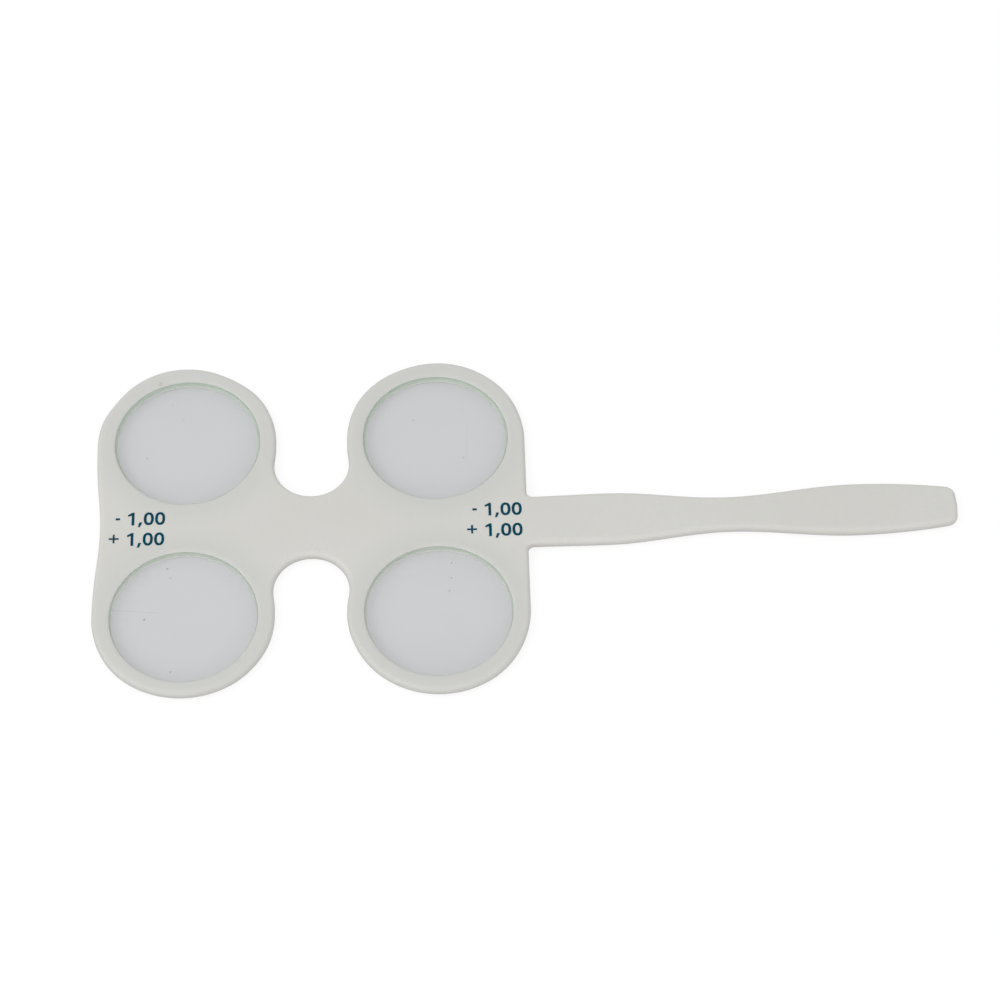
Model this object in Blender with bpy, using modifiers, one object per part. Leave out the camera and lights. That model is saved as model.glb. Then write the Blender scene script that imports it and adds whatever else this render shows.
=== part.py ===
"""Double lens flipper: a flat plastic frame with a handle, holding four round trial lenses.

The frame lies flat: X runs along the handle, Y across the two lens rows, Z up through the plate.
The origin is on the back face, midway between the four lenses. Units are metres.
"""
import math

import bmesh
import bpy
from mathutils import Vector

MM = 0.001

# ---- driving dimensions ---------------------------------------------------------------------
PLATE_THICKNESS = 3.0 * MM
EDGE_ROUNDING = 1.3 * MM

LENS_SPACING = 65.0 * MM          # optical centres of one pair, left to right
ROW_SPACING = 52.4 * MM           # upper pair to lower pair

LOBE_RADIUS = 23.4 * MM           # outline round each lens
LOBE_SPACING = 65.4 * MM
RIGHT_SIDE_X = 55.9 * MM          # straight side that the handle grows from
WAIST_HALF_WIDTH = 54.65 * MM     # free side of the plate, halfway between the rows

NOTCH_RADIUS = 9.75 * MM          # round bottom of each nose notch
NOTCH_CENTRE = 18.9 * MM
NOTCH_BLEND_Y = 25.0 * MM         # where the notch starts to widen from its neck

HANDLE_END = 167.6 * MM
HANDLE_SKEW = math.radians(0.98)  # the handle's centre line runs slightly off square
HANDLE_PIVOT_X = 50.0 * MM
ROOT_FILLET = 1.6 * MM
TIP_CORNER = 2.8 * MM
TIP_LENGTH = 3.9 * MM             # the rounded end, past the taper
TIP_CROWN = 0.35 * MM             # the end face is slightly convex

SEAT_RADIUS = 19.0 * MM           # well that takes the lens
SEAT_LEDGE = 0.6 * MM             # width of the ledge behind the lens
LEDGE_THICKNESS = 0.9 * MM
SEAT_MOUTH_WIDTH = 1.3 * MM       # soft lead-in round the well, an ellipse's quarter
SEAT_MOUTH_DEPTH = 0.4 * MM
APERTURE_CHAMFER = 0.2 * MM

FIT_GAP = 0.3 * MM                # clear gap between a lens and its seat
GLASS_INDEX = 1.523
LENS_THIN = 1.2 * MM              # minus lens at its centre, plus lens at its edge
LENS_CHAMFER = 0.12 * MM

OUTLINE_STEP = math.radians(10.0)
TURN_STEPS = 40
MOUTH_STEPS = 3
LENS_RINGS = 3
WELD_DISTANCE = 0.00001

# (distance from the origin, half width) at the handle's root, first swell, grip and second swell
HANDLE_WIDTHS = (
    (57.0 * MM, 7.30 * MM),
    (76.5 * MM, 7.50 * MM),
    (107.8 * MM, 4.93 * MM),
    (141.0 * MM, 7.42 * MM),
)
HANDLE_TAPER = 3.07               # half width lost per metre squared past the second swell
HANDLE_STEPS = (2, 6, 6)
TAPER_STEPS = 5

# each lobe's side (+1 right, -1 left) and row (+1 upper, -1 lower)
LOBES = {
    "upper_left": (-1, 1),
    "upper_right": (1, 1),
    "lower_left": (-1, -1),
    "lower_right": (1, -1),
}
# the rims are finished by hand: each swell or flat has a middle, a half width and a height
RIM_DRIFT = {
    "upper_left": ((60, 25, -0.36), (106, 28, 0.22), (145, 20, -0.32)),
    "upper_right": ((14, 38, -0.32), (84, 42, 0.32), (140, 42, 0.36)),
    "lower_left": ((195, 30, -0.20), (262, 85, -0.60), (325, 25, -0.10)),
    "lower_right": ((182, 25, 0.18), (342, 42, -0.26)),
}                                 # degrees, degrees, millimetres

FRAME_COLOUR = (0.66, 0.65, 0.61, 1.0)
MINUS_GLASS_COLOUR = (0.86, 0.93, 0.90, 1.0)
PLUS_GLASS_COLOUR = (0.90, 0.93, 0.89, 1.0)


# ---- scene helpers --------------------------------------------------------------------------
def clear_scene():
    for obj in list(bpy.data.objects):
        bpy.data.objects.remove(obj, do_unlink=True)


def new_collection(name):
    collection = bpy.data.collections.new(name)
    bpy.context.scene.collection.children.link(collection)
    return collection


def new_material(name, colour, roughness, transmission=0.0):
    material = bpy.data.materials.new(name)
    material.use_nodes = True
    shader = material.node_tree.nodes["Principled BSDF"]
    shader.inputs["Base Color"].default_value = colour
    shader.inputs["Roughness"].default_value = roughness
    shader.inputs["Metallic"].default_value = 0.0
    shader.inputs["Transmission Weight"].default_value = transmission
    return material


def shade(mesh, sharp_angle):
    mesh.shade_smooth()
    mesh.set_sharp_from_angle(angle=math.radians(sharp_angle))


# ---- outline --------------------------------------------------------------------------------
def arc(centre, radius, start, end, step=OUTLINE_STEP):
    """Points on a circle from one angle to another, both ends included."""
    count = max(2, round(abs(end - start) / step))
    points = []
    for i in range(count + 1):
        angle = start + (end - start) * i / count
        points.append(centre + radius * Vector((math.cos(angle), math.sin(angle))))
    return points


def bezier(p0, p1, p2, p3, count):
    """Points inside a cubic curve, both ends left out."""
    points = []
    for i in range(1, count):
        t = i / count
        s = 1.0 - t
        points.append(s ** 3 * p0 + 3 * s * s * t * p1 + 3 * s * t * t * p2 + t ** 3 * p3)
    return points


def fillet(before, corner, after, radius, step=OUTLINE_STEP * 2):
    """An arc that rounds a corner between two straight directions."""
    into = (before - corner).normalized()
    out = (after - corner).normalized()
    half = into.angle(out) / 2
    centre = corner + (into + out).normalized() * radius / math.sin(half)
    first = corner + into * radius / math.tan(half) - centre
    last = corner + out * radius / math.tan(half) - centre
    start = math.atan2(first.y, first.x)
    sweep = (math.atan2(last.y, last.x) - start + math.pi) % (2 * math.pi) - math.pi
    return arc(centre, radius, start, start + sweep, step)


def rim_drift(name, direction):
    """How far a lobe's rim lies outside its circle in one direction from its centre."""
    angle = math.degrees(math.atan2(direction.y, direction.x))
    drift = 0.0
    for middle, half_width, height in RIM_DRIFT[name]:
        away = abs((angle - middle + 180) % 360 - 180)
        if away < half_width:
            drift += height * MM * math.cos(math.pi / 2 * away / half_width) ** 2
    return drift


def notch_to_lobe(name):
    """Half of one nose notch and the lobe beside it, from the notch's bottom outwards.

    It is drawn for the upper right lobe and mirrored to its own place at the end.
    """
    side, row = LOBES[name]
    lobe = Vector((LOBE_SPACING / 2, ROW_SPACING / 2))
    notch = Vector((0.0, NOTCH_CENTRE))
    bottom = arc(notch, NOTCH_RADIUS, -math.pi / 2, math.radians(4))
    neck_angle = math.pi + math.asin((lobe.y - NOTCH_BLEND_Y) / LOBE_RADIUS)
    rim = []
    for point in arc(lobe, LOBE_RADIUS, neck_angle, 0.0):
        out = (point - lobe).normalized()
        rim.append(point + out * rim_drift(name, Vector((side * out.x, row * out.y))))
    reach = (NOTCH_BLEND_Y - NOTCH_CENTRE) * 0.36
    blend = bezier(bottom[-1], bottom[-1] + Vector((-0.07, 1)) * reach,
                   rim[0] - Vector((0.05, 1)) * reach, rim[0], 4)
    return [Vector((side * p.x, row * p.y)) for p in bottom + blend + rim]


def handle_half_width(x):
    """Half width of the handle: a slow swell, a narrow grip, a second swell and a taper."""
    for (x0, w0), (x1, w1) in zip(HANDLE_WIDTHS, HANDLE_WIDTHS[1:]):
        if x <= x1:
            t = (x - x0) / (x1 - x0)
            return w0 + (w1 - w0) * (1 - math.cos(math.pi * t)) / 2
    last_x, last_w = HANDLE_WIDTHS[-1]
    return last_w - HANDLE_TAPER * (x - last_x) ** 2


def handle_point(x, offset):
    """A point beside the handle's centre line, which is turned about the pivot."""
    along = x - HANDLE_PIVOT_X
    cosine = math.cos(HANDLE_SKEW)
    sine = math.sin(HANDLE_SKEW)
    return Vector((HANDLE_PIVOT_X + along * cosine - offset * sine, along * sine + offset * cosine))


def handle_edge(side):
    """One long edge of the handle from its root fillet to the middle of its end face."""
    root = handle_point(HANDLE_WIDTHS[0][0], side * HANDLE_WIDTHS[0][1])
    corner = Vector((RIGHT_SIDE_X, root.y))
    points = fillet(corner + Vector((0, side)), corner, corner + Vector((1, 0)), ROOT_FILLET)
    for (x0, _), (x1, _), steps in zip(HANDLE_WIDTHS, HANDLE_WIDTHS[1:], HANDLE_STEPS):
        for i in range(1, steps + 1):
            x = x0 + (x1 - x0) * i / steps
            points.append(handle_point(x, side * handle_half_width(x)))
    taper_start = HANDLE_WIDTHS[-1][0]
    taper_end = HANDLE_END - TIP_LENGTH
    for i in range(1, TAPER_STEPS + 1):
        x = taper_start + (taper_end - taper_start) * i / TAPER_STEPS
        points.append(handle_point(x, side * handle_half_width(x)))
    tip_half = handle_half_width(HANDLE_END)
    face_x = HANDLE_END - TIP_CROWN
    before = handle_point(taper_end, side * handle_half_width(taper_end))
    corner = handle_point(face_x, side * tip_half)
    points += fillet(before, corner, handle_point(HANDLE_END, 0), TIP_CORNER)
    points.append(handle_point(HANDLE_END, 0))
    return points


def free_side(top, bottom):
    """The plate's left side, from the upper lobe through the shallow waist to the lower lobe."""
    waist = Vector((-WAIST_HALF_WIDTH, 0.0))
    leave = Vector((0, 14 * MM))
    arrive = Vector((0, 9 * MM))
    upper = bezier(top, top - leave, waist + arrive, waist, 6)
    lower = bezier(waist, waist - arrive, bottom + leave, bottom, 6)
    return upper + [waist] + lower


def frame_outline():
    """The whole outline, counter-clockwise from the bottom of the lower notch."""
    lobe = {name: notch_to_lobe(name) for name in LOBES}
    lower_edge = handle_edge(-1)
    upper_edge = handle_edge(1)
    left_side = free_side(lobe["upper_left"][-1], lobe["lower_left"][-1])
    return (lobe["lower_right"] + lower_edge + upper_edge[-2::-1] + lobe["upper_right"][::-1]
            + lobe["upper_left"][1:] + left_side + lobe["lower_left"][:0:-1])


# ---- shapes ---------------------------------------------------------------------------------
def extruded_plate(name, outline, collection):
    """A flat plate with rounded edges, resting on z = 0."""
    curve = bpy.data.curves.new(name + "_outline", "CURVE")
    curve.dimensions = "2D"
    curve.fill_mode = "BOTH"
    curve.bevel_depth = EDGE_ROUNDING
    curve.bevel_resolution = 1
    curve.offset = -EDGE_ROUNDING
    curve.extrude = PLATE_THICKNESS / 2 - EDGE_ROUNDING
    spline = curve.splines.new("POLY")
    spline.points.add(len(outline) - 1)
    for point, target in zip(spline.points, outline):
        point.co = (target.x, target.y, 0.0, 1.0)
    spline.use_cyclic_u = True
    guide = bpy.data.objects.new(name + "_outline", curve)
    guide.location.z = PLATE_THICKNESS / 2
    collection.objects.link(guide)
    bpy.context.view_layer.update()

    evaluated = guide.evaluated_get(bpy.context.evaluated_depsgraph_get())
    mesh = bpy.data.meshes.new_from_object(evaluated)
    plate = bpy.data.objects.new(name, mesh)
    plate.matrix_world = guide.matrix_world.copy()
    bpy.data.objects.remove(guide, do_unlink=True)

    shell = bmesh.new()
    shell.from_mesh(mesh)
    bmesh.ops.remove_doubles(shell, verts=shell.verts, dist=WELD_DISTANCE)
    bmesh.ops.recalc_face_normals(shell, faces=shell.faces)
    shell.to_mesh(mesh)
    shell.free()
    collection.objects.link(plate)
    return plate


def turned(name, profile, collection):
    """A solid of revolution about Z from (radius, height) points, listed from top to bottom."""
    mesh = bpy.data.meshes.new(name)
    edges = [(i, i + 1) for i in range(len(profile) - 1)]
    mesh.from_pydata([(r, 0.0, z) for r, z in profile], edges, [])
    obj = bpy.data.objects.new(name, mesh)
    collection.objects.link(obj)
    screw = obj.modifiers.new("turn", "SCREW")
    screw.axis = "Z"
    screw.angle = 2 * math.pi
    screw.steps = TURN_STEPS
    screw.render_steps = TURN_STEPS
    screw.use_merge_vertices = True
    screw.merge_threshold = WELD_DISTANCE
    screw.use_smooth_shade = True
    return obj


def seat_profile():
    """Stepped hole, reaching past both faces, with a soft mouth and a chamfered back."""
    top = PLATE_THICKNESS
    past = 1.0 * MM
    bore = SEAT_RADIUS - SEAT_LEDGE
    mouth = []
    for i in range(MOUTH_STEPS + 1):
        angle = math.pi / 2 * i / MOUTH_STEPS
        inwards = SEAT_MOUTH_WIDTH * math.sin(angle)
        down = SEAT_MOUTH_DEPTH * (1 - math.cos(angle))
        mouth.append((SEAT_RADIUS + SEAT_MOUTH_WIDTH - inwards, top - down))
    return [(0.0, top + past), (SEAT_RADIUS + SEAT_MOUTH_WIDTH, top + past)] + mouth + [
        (SEAT_RADIUS, LEDGE_THICKNESS),
        (bore, LEDGE_THICKNESS),
        (bore, APERTURE_CHAMFER),
        (bore + APERTURE_CHAMFER, 0.0),
        (bore + APERTURE_CHAMFER, -past),
        (0.0, -past),
    ]


def surface_radius(power):
    """Radius of each face of an equal-sided lens, from the lens maker's formula."""
    return 2 * (GLASS_INDEX - 1) / abs(power)


def lens_profile(power):
    """Half section of a lens that rests a fit gap above its ledge, from top to bottom."""
    rim = SEAT_RADIUS - FIT_GAP
    radius = surface_radius(power)
    sag = radius - math.sqrt(radius ** 2 - rim ** 2)
    edge = LENS_THIN + 2 * sag if power < 0 else LENS_THIN
    bend = 1 if power < 0 else -1
    bottom = LEDGE_THICKNESS + FIT_GAP
    middle = bottom + edge / 2

    face = []
    for i in range(LENS_RINGS + 1):
        r = (rim - LENS_CHAMFER) * i / LENS_RINGS
        drop = sag - (radius - math.sqrt(radius ** 2 - r ** 2))
        face.append((r, edge / 2 - bend * drop))
    rim_height = edge / 2 - LENS_CHAMFER
    upper = [(r, middle + z) for r, z in face]
    lower = [(r, middle - z) for r, z in reversed(face)]
    return upper + [(rim, middle + rim_height), (rim, middle - rim_height)] + lower


# ---- parts ----------------------------------------------------------------------------------
def lens_places():
    """Name, power in dioptres and centre of each lens."""
    x = LENS_SPACING / 2
    y = ROW_SPACING / 2
    return (
        ("lens_minus_left", -1.0, (-x, y)),
        ("lens_minus_right", -1.0, (x, y)),
        ("lens_plus_left", 1.0, (-x, -y)),
        ("lens_plus_right", 1.0, (x, -y)),
    )


def build_frame(parts, cutters, material):
    frame = extruded_plate("frame", frame_outline(), parts)
    for name, _, centre in lens_places():
        cutter = turned(name.replace("lens", "seat"), seat_profile(), cutters)
        cutter.location = (centre[0], centre[1], 0.0)
        cutter.hide_render = True
        cutter.display_type = "WIRE"
        cut = frame.modifiers.new(cutter.name, "BOOLEAN")
        cut.operation = "DIFFERENCE"
        cut.solver = "EXACT"
        cut.object = cutter
    shade(frame.data, 30)
    frame.data.materials.append(material)
    return frame


def build_lenses(parts, materials):
    for name, power, centre in lens_places():
        lens = turned(name, lens_profile(power), parts)
        lens.location = (centre[0], centre[1], 0.0)
        lens.data.materials.append(materials[power < 0])


def main():
    clear_scene()
    parts = new_collection("double_lens_flipper")
    cutters = new_collection("cutters")
    plastic = new_material("frame_plastic", FRAME_COLOUR, 0.45)
    glass = {
        True: new_material("lens_glass_minus", MINUS_GLASS_COLOUR, 0.02, transmission=1.0),
        False: new_material("lens_glass_plus", PLUS_GLASS_COLOUR, 0.02, transmission=1.0),
    }
    build_frame(parts, cutters, plastic)
    build_lenses(parts, glass)


main()
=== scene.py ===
"""Looks of a double lens flipper: satin off-white plate, four glass lenses, printed power marks."""
import math

import bmesh
import bpy
from mathutils import Matrix, Vector


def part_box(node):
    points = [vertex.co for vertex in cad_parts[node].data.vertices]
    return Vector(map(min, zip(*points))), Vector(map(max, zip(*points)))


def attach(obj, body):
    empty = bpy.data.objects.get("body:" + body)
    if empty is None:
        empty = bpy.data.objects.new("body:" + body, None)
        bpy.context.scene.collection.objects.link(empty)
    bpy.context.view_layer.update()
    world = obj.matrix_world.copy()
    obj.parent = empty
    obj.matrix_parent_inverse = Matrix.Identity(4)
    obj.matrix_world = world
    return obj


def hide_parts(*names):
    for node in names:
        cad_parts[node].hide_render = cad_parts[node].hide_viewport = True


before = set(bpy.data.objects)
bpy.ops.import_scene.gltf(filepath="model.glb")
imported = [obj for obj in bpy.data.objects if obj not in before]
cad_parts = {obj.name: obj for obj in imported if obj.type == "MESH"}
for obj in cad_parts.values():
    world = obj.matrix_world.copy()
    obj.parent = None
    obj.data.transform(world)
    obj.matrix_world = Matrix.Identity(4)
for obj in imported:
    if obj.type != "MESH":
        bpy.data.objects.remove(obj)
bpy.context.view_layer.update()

MM = 0.001

# ---- sizes taken from the frame -------------------------------------------------------------
PLATE_LOW, PLATE_HIGH = (Vector(corner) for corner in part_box("frame"))
PLATE_THICKNESS = PLATE_HIGH.z - PLATE_LOW.z
LENS_NODES = ("lens_minus_left", "lens_minus_right", "lens_plus_left", "lens_plus_right")


def lens_centre(node):
    low, high = (Vector(corner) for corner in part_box(node))
    return (low + high) / 2


LENS_X = lens_centre("lens_minus_right").x
ROW_Y = lens_centre("lens_minus_right").y

# ---- shape of the plate: the CAD model's sizes, but for the ledge and the aperture's edge --------
EDGE_ROUNDING = 1.3 * MM
LOBE_RADIUS = 23.4 * MM
LOBE_X = -PLATE_LOW.x - LOBE_RADIUS
RIGHT_SIDE_X = 55.9 * MM
WAIST_HALF_WIDTH = 54.65 * MM
NOTCH_RADIUS = 9.75 * MM
NOTCH_CENTRE = 18.9 * MM
NOTCH_BLEND_Y = 25.0 * MM
NOTCH_OVERRUN = math.radians(4)       # how far each notch's round bottom runs past its widest point
HANDLE_END = 167.6 * MM
HANDLE_SKEW = math.radians(0.98)
HANDLE_PIVOT_X = 50.0 * MM
ROOT_FILLET = 1.6 * MM
TIP_CORNER = 2.8 * MM
TIP_LENGTH = 3.9 * MM
TIP_CROWN = 0.35 * MM
HANDLE_WIDTHS = (
    (57.0 * MM, 7.30 * MM),
    (76.5 * MM, 7.50 * MM),
    (107.8 * MM, 4.93 * MM),
    (141.0 * MM, 7.42 * MM),
)
HANDLE_TAPER = 3.07                   # half width lost per metre squared past the second swell

# each lobe's side (+1 right, -1 left) and row (+1 upper, -1 lower)
LOBES = {
    "upper_left": (-1, 1),
    "upper_right": (1, 1),
    "lower_left": (-1, -1),
    "lower_right": (1, -1),
}
# hand-finished rims: the middle and half width of each swell or flat in degrees, its height in mm
RIM_DRIFT = {
    "upper_left": ((60, 25, -0.36), (106, 28, 0.22), (145, 20, -0.32)),
    "upper_right": ((14, 38, -0.32), (84, 42, 0.32), (140, 42, 0.36)),
    "lower_left": ((195, 30, -0.20), (262, 85, -0.60), (325, 25, -0.10)),
    "lower_right": ((182, 25, 0.18), (342, 42, -0.26)),
}

SEAT_RADIUS = 19.0 * MM
SEAT_LEDGE = 0.4 * MM                 # 0.6 mm in the CAD model, whose lenses are slightly smaller
LEDGE_THICKNESS = 0.9 * MM
SEAT_MOUTH_WIDTH = 1.3 * MM
SEAT_MOUTH_DEPTH = 0.4 * MM
APERTURE_ROUNDING = 0.2 * MM
STAIN = (-40.0 * MM, 44.6 * MM, 1.0 * MM)    # place and radius of a tiny stain on the plate

# ---- glass ------------------------------------------------------------------------------------
GLASS_INDEX = 1.523
BOND_GAP = 0.03 * MM
LENS_EDGE = {"minus": 1.70 * MM, "plus": 1.65 * MM}    # edge thickness, a little more than in CAD
LENS_RINGS = 12
POLISHED_CHAMFER = 0.06 * MM
GROUND_BAND = 1.0 * MM                # steep faces this near the polished rim are finely ground
STEEP_NORMAL = 0.98                   # a steep face's normal has less than this share along Z
GROUND_BEVEL = {"minus": 0.50 * MM, "plus": 0.25 * MM}
BEVEL_RISE = {"minus": 0.30 * MM, "plus": 0.20 * MM}
# small flaws on the front faces: place, radius (all mm) and strength from 0 to 1
FLAWS = {
    "minus": (
        (-42.9, 21.7, 0.35, 0.75),
        (-36.6, 38.2, 0.35, 0.45),
        (-33.7, 33.4, 0.35, 0.45),
        (39.8, 19.7, 0.35, 0.6),
        (26.8, 31.7, 0.40, 0.45),
    ),
    "plus": (
        (-42.4, -27.0, 0.45, 0.9),
        (-36.9, -12.1, 0.40, 0.9),
        (-36.0, -14.9, 0.40, 0.45),
        (-35.4, -42.3, 0.35, 0.75),
        (36.0, -12.3, 0.40, 0.75),
        (35.3, -20.6, 0.40, 0.6),
        (35.9, -16.8, 0.35, 0.6),
        (-51.2, -23.9, 0.50, 0.35),
    ),
}
# hair scratches: start, end and width in mm, and strength
SCRATCHES = {
    "minus": ((40.9, 30.5, 40.6, 17.5, 0.30, 0.12),),
    "plus": ((-51.6, -23.9, -38.2, -25.2, 0.22, 0.30),),
}

# ---- printed marks ------------------------------------------------------------------------------
DIGIT_HEIGHT = 3.85 * MM
DIGIT_WIDTH = 2.6 * MM
DIGIT_GAP = 0.32 * MM
STROKE = 0.71 * MM
THIN_STROKE = STROKE * 0.95           # a zero's top and bottom
ZERO_SQUARENESS = 0.86                # 1 is an ellipse, less is squarer
ONE_TOP = STROKE * 0.75               # flat top of the one, before its flag starts
ONE_FLAG = ((-1.0, -0.70), (-0.85, -1.18), (0.0, -0.88))    # mm from the stem's top left corner
ONE_FROM_COMMA = 2.0 * MM
COMMA = ((-1.06, -0.55), (-0.52, -0.55), (0.07, 0.85), (-0.70, 0.85))   # mm from its right end
COMMA_GAP = 0.1 * MM
SIGN_FROM_END = 11.65 * MM            # from the last zero's right side to the minus sign's
MINUS_LENGTH = 1.15 * MM
MINUS_STROKE = 0.6 * MM
MINUS_LEVEL = DIGIT_HEIGHT * 0.51
PLUS_ARM = 1.27 * MM
PLUS_STROKE = 0.5 * MM
PLUS_LEVEL = DIGIT_HEIGHT * 0.57
PLUS_SHIFT = 0.1 * MM                 # the plus sign reaches this much less far to the right
INK_HALF_THICKNESS = 0.015 * MM
INK_LEVEL = 0.009 * MM                # middle of the print above the plate, so that it bites in a little
# right-hand end of the last zero and the row's base line, for each mark
MARKS = {
    "mark_minus_left": ("-", (-37.78 * MM, 0.95 * MM)),
    "mark_plus_left": ("+", (-37.88 * MM, -5.2 * MM)),
    "mark_minus_right": ("-", (54.5 * MM, 1.47 * MM)),
    "mark_plus_right": ("+", (54.52 * MM, -4.77 * MM)),
}

# ---- mesh detail ----------------------------------------------------------------------------
OUTLINE_STEP = math.radians(2.0)
FILLET_STEP = math.radians(8.0)
NOTCH_BLEND_STEPS = 12
FREE_SIDE_STEPS = 24
HANDLE_STEP = 1.2 * MM
EDGE_SEGMENTS = 4
MOUTH_SEGMENTS = 8
APERTURE_SEGMENTS = 5
TURN_STEPS = 144
OVAL_STEPS = 48
WELD_DISTANCE = 0.002 * MM
CUTTER_OVERRUN = 1.0 * MM
PLATE_SHARP_ANGLE = math.radians(35)
LENS_SHARP_ANGLE = math.radians(15)

# ---- colours ------------------------------------------------------------------------------------
PLASTIC = ((0.624, 0.621, 0.590), (0.643, 0.640, 0.612))
PLASTIC_MOTTLE = (0.614, 0.612, 0.583)
PLASTIC_NEAR_SEAT = (0.590, 0.593, 0.572)
# painted shade: the darker tone given to the plate's steep sides
PLASTIC_SIDE_SHADE = (0.53, 0.525, 0.49)
# painted light: the lighter tone given to the steep walls inside the seats
SEAT_WALL_LIGHT = (0.84, 0.85, 0.82)
# painted shade: the mottled brown on faces that turn downwards
UNDERSIDE_SHADE = (0.47, 0.44, 0.40)
SPECK = (0.30, 0.27, 0.23)
STAIN_COLOUR = (0.50, 0.40, 0.28)
GLASS = ((0.98, 0.99, 0.98), (0.965, 0.975, 0.965))
GLASS_FLAW = (0.10, 0.10, 0.09)
GLASS_SHADOW = (0.97, 0.975, 0.97)
GROUND_EDGE = {"minus": (0.505, 0.585, 0.505), "plus": (0.52, 0.59, 0.51)}
GROUND_EDGE_SHADE = 0.95
INK = ((0.003, 0.054, 0.088), (0.012, 0.095, 0.140))
FLOOR = ((0.410, 0.410, 0.434), (0.420, 0.420, 0.444))
FLOOR_SEEN_DIRECTLY = (0.22, 0.22, 0.22)
WHITE = (1.0, 1.0, 1.0, 1.0)


# ---- outline ----------------------------------------------------------------------------------
def arc(centre, radius, start, end, step=OUTLINE_STEP):
    """Points on a circle from one angle to another, both ends included."""
    count = max(2, round(abs(end - start) / step))
    points = []
    for i in range(count + 1):
        angle = start + (end - start) * i / count
        points.append(centre + radius * Vector((math.cos(angle), math.sin(angle))))
    return points


def bezier(p0, p1, p2, p3, count):
    """Points inside a cubic curve, both ends left out."""
    points = []
    for i in range(1, count):
        t = i / count
        s = 1.0 - t
        points.append(s ** 3 * p0 + 3 * s * s * t * p1 + 3 * s * t * t * p2 + t ** 3 * p3)
    return points


def fillet(before, corner, after, radius):
    """An arc that rounds a corner between two straight directions."""
    into = (before - corner).normalized()
    out = (after - corner).normalized()
    half = into.angle(out) / 2
    centre = corner + (into + out).normalized() * radius / math.sin(half)
    first = corner + into * radius / math.tan(half) - centre
    last = corner + out * radius / math.tan(half) - centre
    start = math.atan2(first.y, first.x)
    sweep = (math.atan2(last.y, last.x) - start + math.pi) % (2 * math.pi) - math.pi
    return arc(centre, radius, start, start + sweep, FILLET_STEP)


def rim_drift(name, direction):
    """How far a lobe's rim lies outside its circle in one direction from its centre."""
    angle = math.degrees(math.atan2(direction.y, direction.x))
    drift = 0.0
    for middle, half_width, height in RIM_DRIFT[name]:
        away = abs((angle - middle + 180) % 360 - 180)
        if away < half_width:
            drift += height * MM * math.cos(math.pi / 2 * away / half_width) ** 2
    return drift


def notch_to_lobe(name):
    """Half of one nose notch and the lobe beside it, from the notch's bottom outwards."""
    side, row = LOBES[name]
    lobe = Vector((LOBE_X, ROW_Y))
    notch = Vector((0.0, NOTCH_CENTRE))
    bottom = arc(notch, NOTCH_RADIUS, -math.pi / 2, NOTCH_OVERRUN)
    neck_angle = math.pi + math.asin((lobe.y - NOTCH_BLEND_Y) / LOBE_RADIUS)
    rim = []
    for point in arc(lobe, LOBE_RADIUS, neck_angle, 0.0):
        out = (point - lobe).normalized()
        rim.append(point + out * rim_drift(name, Vector((side * out.x, row * out.y))))
    reach = (NOTCH_BLEND_Y - NOTCH_CENTRE) * 0.36
    leave = Vector((-0.07, 1)) * reach
    arrive = Vector((0.05, 1)) * reach
    blend = bezier(bottom[-1], bottom[-1] + leave, rim[0] - arrive, rim[0], NOTCH_BLEND_STEPS)
    return [Vector((side * p.x, row * p.y)) for p in bottom + blend + rim]


def handle_half_width(x):
    """Half width of the handle: a slow swell, a narrow grip, a second swell and a taper."""
    for (x0, w0), (x1, w1) in zip(HANDLE_WIDTHS, HANDLE_WIDTHS[1:]):
        if x <= x1:
            t = (x - x0) / (x1 - x0)
            return w0 + (w1 - w0) * (1 - math.cos(math.pi * t)) / 2
    last_x, last_w = HANDLE_WIDTHS[-1]
    return last_w - HANDLE_TAPER * (x - last_x) ** 2


def handle_point(x, offset):
    """A point beside the handle's centre line, which is turned about the pivot."""
    along = x - HANDLE_PIVOT_X
    cosine = math.cos(HANDLE_SKEW)
    sine = math.sin(HANDLE_SKEW)
    return Vector((HANDLE_PIVOT_X + along * cosine - offset * sine, along * sine + offset * cosine))


def handle_edge(side):
    """One long edge of the handle from its root fillet to the middle of its end face."""
    start_x, start_width = HANDLE_WIDTHS[0]
    root = handle_point(start_x, side * start_width)
    corner = Vector((RIGHT_SIDE_X, root.y))
    points = fillet(corner + Vector((0, side)), corner, corner + Vector((1, 0)), ROOT_FILLET)
    taper_end = HANDLE_END - TIP_LENGTH
    count = round((taper_end - start_x) / HANDLE_STEP)
    for i in range(2, count + 1):
        x = start_x + (taper_end - start_x) * i / count
        points.append(handle_point(x, side * handle_half_width(x)))
    corner = handle_point(HANDLE_END - TIP_CROWN, side * handle_half_width(HANDLE_END))
    points += fillet(points[-1], corner, handle_point(HANDLE_END, 0), TIP_CORNER)
    points.append(handle_point(HANDLE_END, 0))
    return points


def free_side(top, bottom):
    """The plate's left side, from the upper lobe through the shallow waist to the lower lobe."""
    waist = Vector((-WAIST_HALF_WIDTH, 0.0))
    leave = Vector((0, 14 * MM))
    arrive = Vector((0, 9 * MM))
    upper = bezier(top, top - leave, waist + arrive, waist, FREE_SIDE_STEPS)
    lower = bezier(waist, waist - arrive, bottom + leave, bottom, FREE_SIDE_STEPS)
    return upper + [waist] + lower


def frame_outline():
    """The whole outline, counter-clockwise from the bottom of the lower notch."""
    lobe = {name: notch_to_lobe(name) for name in LOBES}
    left_side = free_side(lobe["upper_left"][-1], lobe["lower_left"][-1])
    return (lobe["lower_right"] + handle_edge(-1) + handle_edge(1)[-2::-1]
            + lobe["upper_right"][::-1] + lobe["upper_left"][1:] + left_side
            + lobe["lower_left"][:0:-1])


# ---- mesh helpers -----------------------------------------------------------------------------
def mesh_from(obj):
    """The object's shape with its modifiers, as a mesh of its own."""
    bpy.context.view_layer.update()
    depsgraph = bpy.context.evaluated_depsgraph_get()
    return bpy.data.meshes.new_from_object(obj.evaluated_get(depsgraph), depsgraph=depsgraph)


def matrix_up(height):
    return Matrix.Translation((0.0, 0.0, height))


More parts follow.
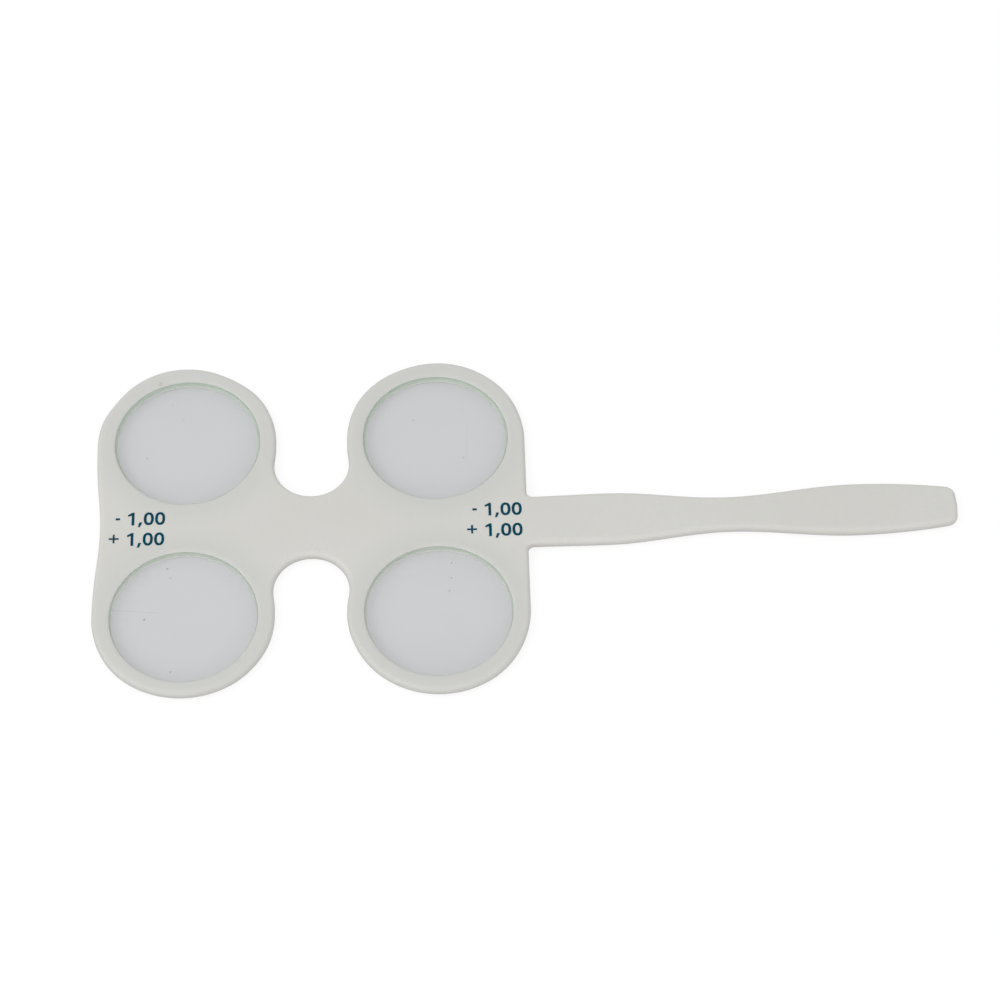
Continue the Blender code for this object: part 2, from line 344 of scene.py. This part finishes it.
def link(name, data):
    obj = bpy.data.objects.new(name, data)
    bpy.context.scene.collection.objects.link(obj)
    return obj


def baked(obj):
    """The same object with its modifiers taken into its mesh."""
    mesh = mesh_from(obj)
    name = obj.name
    place = obj.matrix_world.copy()
    bpy.data.objects.remove(obj, do_unlink=True)
    mesh.transform(place)
    mesh.name = name
    return link(name, mesh)


def weld(mesh):
    """Join the loose caps of a shape to its sides."""
    shell = bmesh.new()
    shell.from_mesh(mesh)
    bmesh.ops.remove_doubles(shell, verts=shell.verts, dist=WELD_DISTANCE)
    bmesh.ops.recalc_face_normals(shell, faces=shell.faces)
    shell.to_mesh(mesh)
    shell.free()


def flat_curve(name, outlines, half_height, rounding=0.0, segments=0):
    """A closed flat shape from its outlines, centred on z = 0, as a mesh object."""
    curve = bpy.data.curves.new(name, "CURVE")
    curve.dimensions = "2D"
    curve.fill_mode = "BOTH"
    curve.bevel_depth = rounding
    curve.bevel_resolution = segments
    curve.offset = -rounding
    curve.extrude = half_height - rounding
    for outline in outlines:
        spline = curve.splines.new("POLY")
        spline.points.add(len(outline) - 1)
        for point, target in zip(spline.points, outline):
            point.co = (target.x, target.y, 0.0, 1.0)
        spline.use_cyclic_u = True
    obj = baked(link(name, curve))
    weld(obj.data)
    return obj


def turned(name, profile, centre):
    """A solid of revolution about a vertical axis from (radius, height) points, top to bottom."""
    mesh = bpy.data.meshes.new(name)
    edges = [(i, i + 1) for i in range(len(profile) - 1)]
    mesh.from_pydata([(r, 0.0, z) for r, z in profile], edges, [])
    obj = link(name, mesh)
    screw = obj.modifiers.new("turn", "SCREW")
    screw.axis = "Z"
    screw.angle = 2 * math.pi
    screw.steps = TURN_STEPS
    screw.render_steps = TURN_STEPS
    screw.use_merge_vertices = True
    screw.merge_threshold = WELD_DISTANCE
    obj.location = (centre.x, centre.y, 0.0)
    return baked(obj)


def give_material(obj, *materials):
    obj.data.materials.clear()
    for material in materials:
        obj.data.materials.append(material)


def smooth(obj, sharp_angle):
    """Smooth shading in which the large flat faces keep their own normals."""
    obj.data.shade_smooth()
    obj.data.set_sharp_from_angle(angle=sharp_angle)
    weighted = obj.modifiers.new("flat_faces", "WEIGHTED_NORMAL")
    weighted.mode = "FACE_AREA"
    weighted.weight = 100
    weighted.keep_sharp = True
    return baked(obj)


def quarter(centre_r, centre_z, width, depth, start, end, segments):
    """Points (radius, height) along an ellipse in the turning plane, both ends included."""
    points = []
    for i in range(segments + 1):
        angle = math.radians(start + (end - start) * i / segments)
        points.append((centre_r + width * math.cos(angle), centre_z + depth * math.sin(angle)))
    return points


# ---- plate ------------------------------------------------------------------------------------
def seat_profile():
    """Stepped hole with softly rounded mouths, reaching past both faces of the plate."""
    top = PLATE_THICKNESS
    past = CUTTER_OVERRUN
    bore = SEAT_RADIUS - SEAT_LEDGE
    mouth = SEAT_RADIUS + SEAT_MOUTH_WIDTH
    back = APERTURE_ROUNDING
    upper = quarter(mouth, top - SEAT_MOUTH_DEPTH, SEAT_MOUTH_WIDTH, SEAT_MOUTH_DEPTH,
                    90, 180, MOUTH_SEGMENTS)
    lower = quarter(bore + back, back, back, back, 180, 270, APERTURE_SEGMENTS)
    return ([(0.0, top + past), (mouth, top + past)] + upper
            + [(SEAT_RADIUS, LEDGE_THICKNESS), (bore, LEDGE_THICKNESS)] + lower
            + [(bore + back, -past), (0.0, -past)])


def build_plate(material):
    plate = flat_curve("plate", [frame_outline()], PLATE_THICKNESS / 2, EDGE_ROUNDING, EDGE_SEGMENTS)
    plate.data.transform(matrix_up(PLATE_LOW.z + PLATE_THICKNESS / 2))
    cutters = [turned("seat", seat_profile(), lens_centre(node)) for node in LENS_NODES]
    for cutter in cutters:
        cut = plate.modifiers.new(cutter.name, "BOOLEAN")
        cut.operation = "DIFFERENCE"
        cut.solver = "EXACT"
        cut.object = cutter
    plate = baked(plate)
    for cutter in cutters:
        bpy.data.objects.remove(cutter, do_unlink=True)
    plate = smooth(plate, PLATE_SHARP_ANGLE)
    give_material(plate, material)
    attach(plate, "root")
    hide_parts("frame")


# ---- lenses -----------------------------------------------------------------------------------
def lens_profile(kind):
    """Half section of an equal-sided lens of 1 dioptre that sits on its ledge, top to bottom."""
    rim = SEAT_RADIUS - BOND_GAP
    radius = 2 * (GLASS_INDEX - 1)    # in metres, from the lens maker's formula
    sag = radius - math.sqrt(radius ** 2 - rim ** 2)
    edge = LENS_EDGE[kind]
    bend = 1 if kind == "minus" else -1
    bottom = LEDGE_THICKNESS + BOND_GAP
    middle = bottom + edge / 2

    def face(outer, side):
        points = []
        for i in range(LENS_RINGS + 1):
            r = outer * i / LENS_RINGS
            drop = sag - (radius - math.sqrt(radius ** 2 - r ** 2))
            points.append((r, middle + side * (edge / 2 - bend * drop)))
        return points

    upper = face(rim - POLISHED_CHAMFER, 1)
    lower = face(rim - GROUND_BEVEL[kind], -1)
    wall = [(rim, middle + edge / 2 - POLISHED_CHAMFER), (rim, bottom + BEVEL_RISE[kind])]
    return upper + wall + lower[::-1]


def build_lens(node, glass, ground):
    kind, side = node.split("_")[1:]
    centre = lens_centre(node)
    lens = turned(f"glass_{kind}_{side}", lens_profile(kind), centre)
    polished_radius = SEAT_RADIUS - BOND_GAP - POLISHED_CHAMFER
    give_material(lens, glass, ground)
    for face in lens.data.polygons:
        from_axis = (face.center - centre).xy.length
        steep = abs(face.normal.z) < STEEP_NORMAL
        face.material_index = 1 if steep and from_axis > polished_radius - GROUND_BAND else 0
    lens = smooth(lens, LENS_SHARP_ANGLE)
    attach(lens, "root")
    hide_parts(node)


# ---- printed marks ----------------------------------------------------------------------------
def oval(centre, width, height):
    """A slightly squared oval, as in the bowl of a zero."""
    points = []
    for i in range(OVAL_STEPS):
        angle = 2 * math.pi * i / OVAL_STEPS
        c = math.cos(angle)
        s = math.sin(angle)
        x = math.copysign(abs(c) ** ZERO_SQUARENESS, c) * width / 2
        y = math.copysign(abs(s) ** ZERO_SQUARENESS, s) * height / 2
        points.append(centre + Vector((x, y)))
    return points


def rectangle(low, high):
    return [Vector(low), Vector((high[0], low[1])), Vector(high), Vector((low[0], high[1]))]


def zero(right, base):
    centre = Vector((right - DIGIT_WIDTH / 2, base + DIGIT_HEIGHT / 2))
    inside = oval(centre, DIGIT_WIDTH - 2 * STROKE, DIGIT_HEIGHT - 2 * THIN_STROKE)
    return [oval(centre, DIGIT_WIDTH, DIGIT_HEIGHT), inside[::-1]]


def one(right, base):
    top = base + DIGIT_HEIGHT
    left = right - STROKE
    stem = [Vector((left, base)), Vector((right, base)), Vector((right, top))]
    flag = [Vector((left, top)) + Vector(point) * MM for point in ONE_FLAG]
    return [stem + [Vector((right - ONE_TOP, top))] + flag]


def comma(right, base):
    return [[Vector((right, base)) + Vector(point) * MM for point in COMMA]]


def minus_sign(right, base):
    middle = base + MINUS_LEVEL
    half = MINUS_STROKE / 2
    return [rectangle((right - MINUS_LENGTH, middle - half), (right, middle + half))]


def plus_sign(right, base):
    """A cross, from the same three corners turned through four quarters."""
    half = PLUS_STROKE / 2
    centre = Vector((right - PLUS_SHIFT - PLUS_ARM, base + PLUS_LEVEL))
    corners = (Vector((PLUS_ARM, half)), Vector((half, half)), Vector((half, PLUS_ARM)))
    turns = [Matrix.Rotation(quarter_turn * math.pi / 2, 2) for quarter_turn in range(4)]
    return [[centre + turn @ corner for turn in turns for corner in corners]]


def build_mark(name, material):
    sign, (right, base) = MARKS[name]
    pitch = DIGIT_WIDTH + DIGIT_GAP
    outlines = zero(right, base) + zero(right - pitch, base)
    comma_right = right - 2 * pitch - COMMA_GAP
    outlines += comma(comma_right, base) + one(comma_right - ONE_FROM_COMMA, base)
    draw_sign = minus_sign if sign == "-" else plus_sign
    outlines += draw_sign(right - SIGN_FROM_END, base)
    mark = flat_curve(name, outlines, INK_HALF_THICKNESS)
    mark.data.transform(matrix_up(PLATE_HIGH.z + INK_LEVEL))
    give_material(mark, material)
    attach(mark, "root")


# ---- materials --------------------------------------------------------------------------------
class Nodes:
    """Short-hand for one material's node tree."""

    def __init__(self, name):
        self.material = bpy.data.materials.new(name)
        self.material.use_nodes = True
        self.tree = self.material.node_tree
        self.shader = self.tree.nodes["Principled BSDF"]
        self.output = self.tree.nodes["Material Output"]
        self.place = self.add("ShaderNodeTexCoord").outputs["Object"]

    def add(self, kind, **settings):
        node = self.tree.nodes.new(kind)
        for key, value in settings.items():
            setattr(node, key, value)
        return node

    def join(self, source, target):
        self.tree.links.new(source, target)

    def noise(self, scale, detail=2.0, stretch=(1.0, 1.0, 1.0), offset=(0.0, 0.0, 0.0)):
        """A noise value between 0 and 1, in the object's own space."""
        mapping = self.add("ShaderNodeMapping")
        mapping.inputs["Location"].default_value = offset
        mapping.inputs["Scale"].default_value = stretch
        self.join(self.place, mapping.inputs["Vector"])
        texture = self.add("ShaderNodeTexNoise")
        texture.inputs["Scale"].default_value = scale
        texture.inputs["Detail"].default_value = detail
        self.join(mapping.outputs["Vector"], texture.inputs["Vector"])
        return texture.outputs["Fac"]

    def ramp(self, value, low, high, to_low=0.0, to_high=1.0):
        node = self.add("ShaderNodeMapRange", interpolation_type="SMOOTHSTEP")
        node.inputs["From Min"].default_value = low
        node.inputs["From Max"].default_value = high
        node.inputs["To Min"].default_value = to_low
        node.inputs["To Max"].default_value = to_high
        self.join(value, node.inputs["Value"])
        return node.outputs["Result"]

    def mix(self, factor, first, second):
        """Blend of two colours; each may be a colour or another node's output."""
        node = self.add("ShaderNodeMix", data_type="RGBA")
        self.join(factor, node.inputs["Factor"])
        for socket, value in (("A", first), ("B", second)):
            target = next(s for s in node.inputs if s.name == socket and s.type == "RGBA")
            if isinstance(value, tuple):
                target.default_value = (*value, 1.0)
            else:
                self.join(value, target)
        return next(s for s in node.outputs if s.type == "RGBA")

    def math(self, operation, first, second):
        node = self.add("ShaderNodeMath", operation=operation)
        for socket, value in zip(node.inputs, (first, second)):
            if isinstance(value, (int, float)):
                socket.default_value = value
            else:
                self.join(value, socket)
        return node.outputs["Value"]

    def part(self, axis):
        """One coordinate of the object's own space."""
        axes = self.add("ShaderNodeSeparateXYZ")
        self.join(self.place, axes.inputs["Vector"])
        return axes.outputs[axis]

    def from_axis(self, x, y, mirrored=False):
        """Distance from an upright axis; mirrored folds all four quarters onto one."""
        flat = self.add("ShaderNodeVectorMath", operation="MULTIPLY")
        self.join(self.place, flat.inputs[0])
        flat.inputs[1].default_value = (1.0, 1.0, 0.0)
        source = flat.outputs["Vector"]
        if mirrored:
            folded = self.add("ShaderNodeVectorMath", operation="ABSOLUTE")
            self.join(source, folded.inputs[0])
            source = folded.outputs["Vector"]
        distance = self.add("ShaderNodeVectorMath", operation="DISTANCE")
        self.join(source, distance.inputs[0])
        distance.inputs[1].default_value = (x, y, 0.0)
        return distance.outputs["Value"]

    def spot(self, x, y, radius):
        """1 on an upright axis, fading to 0 at the radius."""
        return self.ramp(self.from_axis(x, y), 0.0, radius, 1.0, 0.0)

    def line(self, x0, y0, x1, y1, width):
        """1 along a straight line, fading to 0 at half its width and past its ends."""
        along = Vector((x1 - x0, y1 - y0))
        length = along.length
        along.normalize()
        run = self.math("ADD", self.math("MULTIPLY", self.part("X"), along.x),
                        self.math("MULTIPLY", self.part("Y"), along.y))
        off = self.math("SUBTRACT", self.math("MULTIPLY", self.part("Y"), along.x),
                        self.math("MULTIPLY", self.part("X"), along.y))
        start = x0 * along.x + y0 * along.y
        side = y0 * along.x - x0 * along.y
        aside = self.math("ABSOLUTE", self.math("SUBTRACT", off, side), 0.0)
        from_middle = self.math("ABSOLUTE", self.math("SUBTRACT", run, start + length / 2), 0.0)
        across = self.ramp(aside, 0.0, width / 2, 1.0, 0.0)
        within = self.ramp(from_middle, length * 0.4, length / 2, 1.0, 0.0)
        return self.math("MULTIPLY", across, within)

    def specks(self, scale, radius, share):
        """Scattered round specks: cells per metre, speck radius in cells, share of cells used."""
        voronoi = self.add("ShaderNodeTexVoronoi")
        voronoi.inputs["Scale"].default_value = scale
        self.join(self.place, voronoi.inputs["Vector"])
        near = self.ramp(voronoi.outputs["Distance"], radius * 0.5, radius, 1.0, 0.0)
        chosen = self.add("ShaderNodeSeparateColor")
        self.join(voronoi.outputs["Color"], chosen.inputs["Color"])
        used = self.math("LESS_THAN", chosen.outputs["Red"], share)
        return self.math("MULTIPLY", near, used)

    def bump(self, layers):
        """Stacked bump; each layer is a height value and its depth in metres."""
        normal = None
        for height, depth in layers:
            node = self.add("ShaderNodeBump")
            node.inputs["Strength"].default_value = 1.0
            node.inputs["Distance"].default_value = depth
            self.join(height, node.inputs["Height"])
            if normal is not None:
                self.join(normal, node.inputs["Normal"])
            normal = node.outputs["Normal"]
        self.join(normal, self.shader.inputs["Normal"])

    def let_light_through(self, tint):
        """Light on its way to what lies behind passes straight through, with a faint tint."""
        clear = self.add("ShaderNodeBsdfTransparent")
        clear.inputs["Color"].default_value = (*tint, 1.0)
        path = self.add("ShaderNodeLightPath")
        surface = self.shader.outputs["BSDF"]
        for ray in ("Is Shadow Ray", "Is Diffuse Ray"):
            either = self.add("ShaderNodeMixShader")
            self.join(path.outputs[ray], either.inputs["Fac"])
            self.join(surface, either.inputs[1])
            self.join(clear.outputs["BSDF"], either.inputs[2])
            surface = either.outputs["Shader"]
        self.join(surface, self.output.inputs["Surface"])

    def set(self, **values):
        for key, value in values.items():
            self.shader.inputs[key.replace("_", " ")].default_value = value


def plastic_material():
    """Off-white moulded plastic: faint mottling, painted shade on steep and downward faces, painted
    light on the seat walls, a tiny stain.
    """
    n = Nodes("plate_plastic")
    n.set(Metallic=0.0, IOR=1.49, Subsurface_Weight=0.3, Subsurface_Scale=1.0)
    n.set(Subsurface_Radius=(1.6 * MM, 1.5 * MM, 1.3 * MM))
    cloudy = n.ramp(n.noise(18.0, 3.0), 0.35, 0.65)
    tone = n.mix(cloudy, *PLASTIC)
    fine = n.ramp(n.noise(900.0, 2.0), 0.3, 0.7, 0.0, 0.35)
    tone = n.mix(fine, tone, PLASTIC_MOTTLE)
    from_seat = n.from_axis(LENS_X, ROW_Y, mirrored=True)
    near_seat = n.ramp(from_seat, 20 * MM, 28 * MM, 1.0, 0.0)
    tone = n.mix(near_seat, tone, PLASTIC_NEAR_SEAT)

    geometry = n.add("ShaderNodeNewGeometry")
    axes = n.add("ShaderNodeSeparateXYZ")
    n.join(geometry.outputs["Normal"], axes.inputs["Vector"])
    outside = n.ramp(from_seat, SEAT_RADIUS + 1.5 * MM, SEAT_RADIUS + 2.5 * MM)
    upright = n.math("ABSOLUTE", axes.outputs["Z"], 0.0)
    # painted shade: steep faces away from the seats are darkened
    shaded_sides = n.math("MULTIPLY", n.ramp(upright, 0.3, 0.9, 1.0, 0.0), outside)
    tone = n.mix(n.math("MULTIPLY", shaded_sides, 0.3), tone, PLASTIC_SIDE_SHADE)
    # painted shade: faces that turn downwards, away from the seats, are darkened in a mottled brown
    turned_down = n.math("MULTIPLY", n.ramp(axes.outputs["Z"], -0.25, 0.25, 1.0, 0.0), outside)
    not_flat = n.ramp(upright, 0.85, 0.97, 1.0, 0.0)
    underside_shade = n.math("MULTIPLY", turned_down, n.ramp(n.noise(60.0, 4.0), 0.3, 0.7, 0.15, 0.4))
    underside_shade = n.math("MULTIPLY", underside_shade, not_flat)
    tone = n.mix(underside_shade, tone, UNDERSIDE_SHADE)

    steep = n.ramp(upright, 0.3, 0.95, 1.0, 0.0)
    in_seat = n.ramp(from_seat, SEAT_RADIUS + 0.1 * MM, SEAT_RADIUS + 0.9 * MM, 1.0, 0.0)
    lit_seat_wall = n.math("MULTIPLY", steep, in_seat)
    painted_light_share = n.ramp(axes.outputs["Y"], -0.8, -0.3, 0.5, 1.0)    # painted light: seat walls are lightened, least on the walls that face -Y
    tone = n.mix(n.math("MULTIPLY", lit_seat_wall, painted_light_share), tone, SEAT_WALL_LIGHT)

    specks = n.specks(120.0, 0.022, 0.35)
    tone = n.mix(n.math("MULTIPLY", specks, 0.5), tone, SPECK)
    tone = n.mix(n.math("MULTIPLY", n.spot(*STAIN), 0.5), tone, STAIN_COLOUR)
    n.join(tone, n.shader.inputs["Base Color"])

    rubbed = n.ramp(n.noise(45.0, 4.0, offset=(0.3, 0.1, 0.0)), 0.3, 0.7, 0.40, 0.50)
    n.join(rubbed, n.shader.inputs["Roughness"])
    wavy = n.noise(110.0, 1.0)
    grain = n.noise(2600.0, 2.0)
    hairlines = n.noise(900.0, 3.0, stretch=(0.08, 1.0, 1.0))
    n.bump(((wavy, 0.03 * MM), (grain, 0.004 * MM), (hairlines, 0.003 * MM)))
    return n.material


def glass_material(kind):
    """Clear polished glass with dust specks, which lets light through to what lies behind."""
    n = Nodes(f"{kind}_glass")
    n.set(Roughness=0.0, IOR=GLASS_INDEX, Metallic=0.0, Transmission_Weight=1.0)
    front = n.math("GREATER_THAN", n.part("Z"), LEDGE_THICKNESS + LENS_EDGE[kind] / 2)
    film = n.ramp(n.noise(70.0, 4.0, stretch=(0.5, 1.0, 1.0)), 0.4, 0.75)
    tone = n.mix(film, *GLASS)
    flaws = n.math("MULTIPLY", n.specks(210.0, 0.04, 0.25), 0.25)
    for x, y, radius, strength in FLAWS[kind]:
        spot = n.math("MULTIPLY", n.spot(x * MM, y * MM, radius * MM), strength)
        flaws = n.math("MAXIMUM", flaws, spot)
    for x0, y0, x1, y1, width, strength in SCRATCHES[kind]:
        hair = n.line(x0 * MM, y0 * MM, x1 * MM, y1 * MM, width * MM)
        flaws = n.math("MAXIMUM", flaws, n.math("MULTIPLY", hair, strength))
    tone = n.mix(n.math("MULTIPLY", flaws, front), tone, GLASS_FLAW)
    n.join(tone, n.shader.inputs["Base Color"])

    n.let_light_through(GLASS_SHADOW)
    return n.material


def ground_edge_material(kind):
    """Finely ground edge in the green of the glass."""
    n = Nodes(f"ground_edge_{kind}")
    n.set(Roughness=0.6, IOR=GLASS_INDEX, Metallic=0.0)
    uneven = n.ramp(n.noise(300.0, 3.0), 0.3, 0.7)
    colour = GROUND_EDGE[kind]
    tone = n.mix(uneven, colour, tuple(channel * GROUND_EDGE_SHADE for channel in colour))
    n.join(tone, n.shader.inputs["Base Color"])
    n.bump(((n.noise(4000.0, 2.0), 0.004 * MM),))
    return n.material


def ink_material():
    """Dark teal pad-printed ink, thinner here and there."""
    n = Nodes("ink")
    n.set(Metallic=0.0, Specular_IOR_Level=0.0)
    thin = n.ramp(n.noise(1400.0, 3.0), 0.45, 0.75, 0.0, 0.5)
    tone = n.mix(thin, *INK)
    n.join(tone, n.shader.inputs["Base Color"])
    n.join(n.ramp(n.noise(500.0, 2.0), 0.3, 0.7, 0.45, 0.6), n.shader.inputs["Roughness"])
    return n.material


def floor_material():
    """Plain pale floor: a light grey through the lenses, white where the camera sees it directly."""
    n = Nodes("studio_floor")
    n.set(Roughness=0.9, Metallic=0.0, Specular_IOR_Level=0.1)
    soft = n.ramp(n.noise(3.0, 2.0), 0.3, 0.7)
    tone = n.mix(soft, *FLOOR)
    seen_directly = n.add("ShaderNodeLightPath").outputs["Is Camera Ray"]
    n.join(n.mix(seen_directly, tone, FLOOR_SEEN_DIRECTLY), n.shader.inputs["Base Color"])
    n.shader.inputs["Emission Color"].default_value = WHITE
    glow = n.ramp(seen_directly, 0.0, 1.0, FLOOR_GLOW, FLOOR_BLEACH)
    n.join(glow, n.shader.inputs["Emission Strength"])
    return n.material


# ---- studio -----------------------------------------------------------------------------------
CAMERA_PLACE = Vector((36.22, -461.25, 760.2)) * MM
CAMERA_TARGET = Vector((48.94, 6.11, 3.0)) * MM
CAMERA_LENS = 123.46                  # mm, on a sensor 36 mm wide
CAMERA_SENSOR = 36.0
CAMERA_NEAR = 0.01
FLOOR_GAP = 0.05 * MM
FLOOR_SIZE = 6.0
FLOOR_GLOW = 0.20                     # keeps the shadows at the plate's foot soft
FLOOR_BLEACH = 0.80                   # the glow that the camera sees directly, which is white
SKY_LIGHT = 0.84
SKY_SEEN_DIRECTLY = 1.0
LIGHT_TARGET = Vector((0.05, 0.0, 0.0))
LIGHT_COLOUR = (1.0, 0.99, 0.97)
# each light's place, width (both in metres) and power in watts
LIGHTS = {
    "key": ((-0.80, -0.05, 0.80), 0.9, 2.9),
    "fill": ((0.10, -0.86, 0.26), 0.6, 1.6),
}


def build_floor():
    bpy.ops.mesh.primitive_plane_add(size=FLOOR_SIZE, location=(0, 0, PLATE_LOW.z - FLOOR_GAP))
    floor = bpy.context.object
    floor.name = "floor"
    floor.data.materials.append(floor_material())


def build_light(name):
    """A round soft light that is not mirrored in the lenses."""
    place, size, power = LIGHTS[name]
    light = bpy.data.lights.new(name, "AREA")
    light.shape = "DISK"
    light.size = size
    light.energy = power
    light.color = LIGHT_COLOUR
    obj = link(name, light)
    obj.location = place
    obj.rotation_euler = (LIGHT_TARGET - Vector(place)).to_track_quat("-Z", "Y").to_euler()
    obj.visible_glossy = False
    obj.visible_transmission = False


def build_sky():
    world = bpy.data.worlds.new("studio")
    world.use_nodes = True
    sky = world.node_tree.nodes["Background"]
    sky.inputs["Color"].default_value = WHITE
    path = world.node_tree.nodes.new("ShaderNodeLightPath")
    strength = world.node_tree.nodes.new("ShaderNodeMapRange")
    strength.inputs["To Min"].default_value = SKY_LIGHT
    strength.inputs["To Max"].default_value = SKY_SEEN_DIRECTLY
    world.node_tree.links.new(path.outputs["Is Camera Ray"], strength.inputs["Value"])
    world.node_tree.links.new(strength.outputs["Result"], sky.inputs["Strength"])
    bpy.context.scene.world = world


def build_camera():
    data = bpy.data.cameras.new("camera")
    data.lens = CAMERA_LENS
    data.sensor_width = CAMERA_SENSOR
    data.clip_start = CAMERA_NEAR
    camera = link("camera", data)
    camera.location = CAMERA_PLACE
    camera.rotation_euler = (CAMERA_TARGET - CAMERA_PLACE).to_track_quat("-Z", "Y").to_euler()
    bpy.context.scene.camera = camera
    view = bpy.context.scene.view_settings
    view.view_transform = "Standard"
    view.look = "None"


def main():
    build_plate(plastic_material())
    glass = {kind: glass_material(kind) for kind in LENS_EDGE}
    ground = {kind: ground_edge_material(kind) for kind in LENS_EDGE}
    for node in LENS_NODES:
        kind = node.split("_")[1]
        build_lens(node, glass[kind], ground[kind])
    ink = ink_material()
    for name in MARKS:
        build_mark(name, ink)
    build_floor()
    build_sky()
    for name in LIGHTS:
        build_light(name)
    build_camera()


main()
